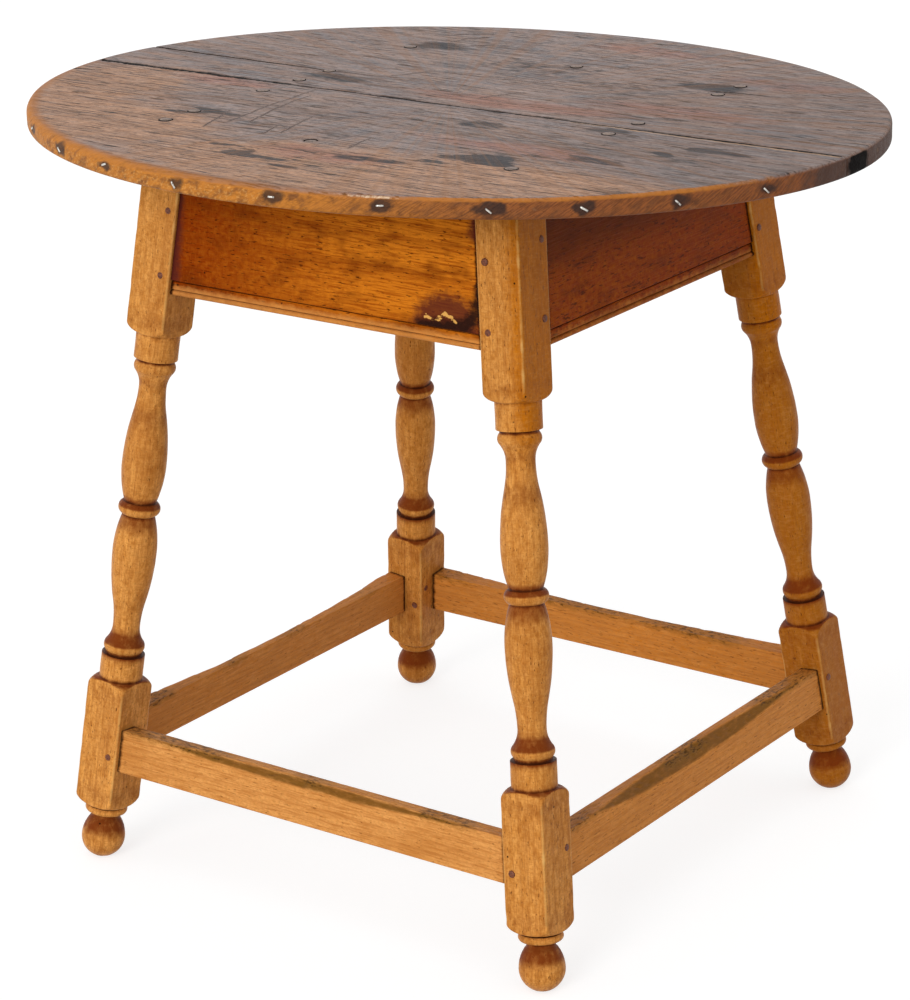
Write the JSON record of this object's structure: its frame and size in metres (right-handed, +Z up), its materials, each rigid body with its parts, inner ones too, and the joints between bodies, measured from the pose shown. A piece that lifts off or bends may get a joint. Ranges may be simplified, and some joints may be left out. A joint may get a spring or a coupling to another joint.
{
  "type": "tavern table",
  "caption": "Oval-topped tavern table on splayed vase-turned legs with ball feet, joined by a moulded apron and a box of foot-worn stretchers.",
  "frame": {"origin": "on the floor, under the middle of the oval top", "axes": "+Z up, +X along the top's boards and its long axis, the front of the table towards -Y"},
  "size_m": [0.8, 0.652, 0.686],
  "materials": {
    "top_pine": "weathered and waxed",
    "apron_pine": "old shellac",
    "turned_maple": "old shellac",
    "worn_maple": "worn shellac",
    "peg_wood": "darkened",
    "nail_iron": "rubbed bright"
  },
  "bodies": {
    "root": {"edge_nails": "nail_iron", "leg_front_left": "turned_maple", "leg_front_right": "turned_maple", "leg_rear_left": "turned_maple", "leg_rear_right": "turned_maple", "rail_front": "apron_pine", "rail_left": "apron_pine", "rail_pegs_front_left": "peg_wood", "rail_pegs_front_right": "peg_wood", "rail_pegs_rear_left": "peg_wood", "rail_pegs_rear_right": "peg_wood", "rail_rear": "apron_pine", "rail_right": "apron_pine", "stretcher_front": "worn_maple", "stretcher_left": "worn_maple", "stretcher_pegs_front_left": "peg_wood", "stretcher_pegs_front_right": "peg_wood", "stretcher_pegs_rear_left": "peg_wood", "stretcher_pegs_rear_right": "peg_wood", "stretcher_rear": "worn_maple", "stretcher_right": "worn_maple", "top_front_board": "top_pine", "top_pins_front_board": "peg_wood", "top_pins_rear_board": "peg_wood", "top_rear_board": "top_pine"}
  },
  "joints": []
}
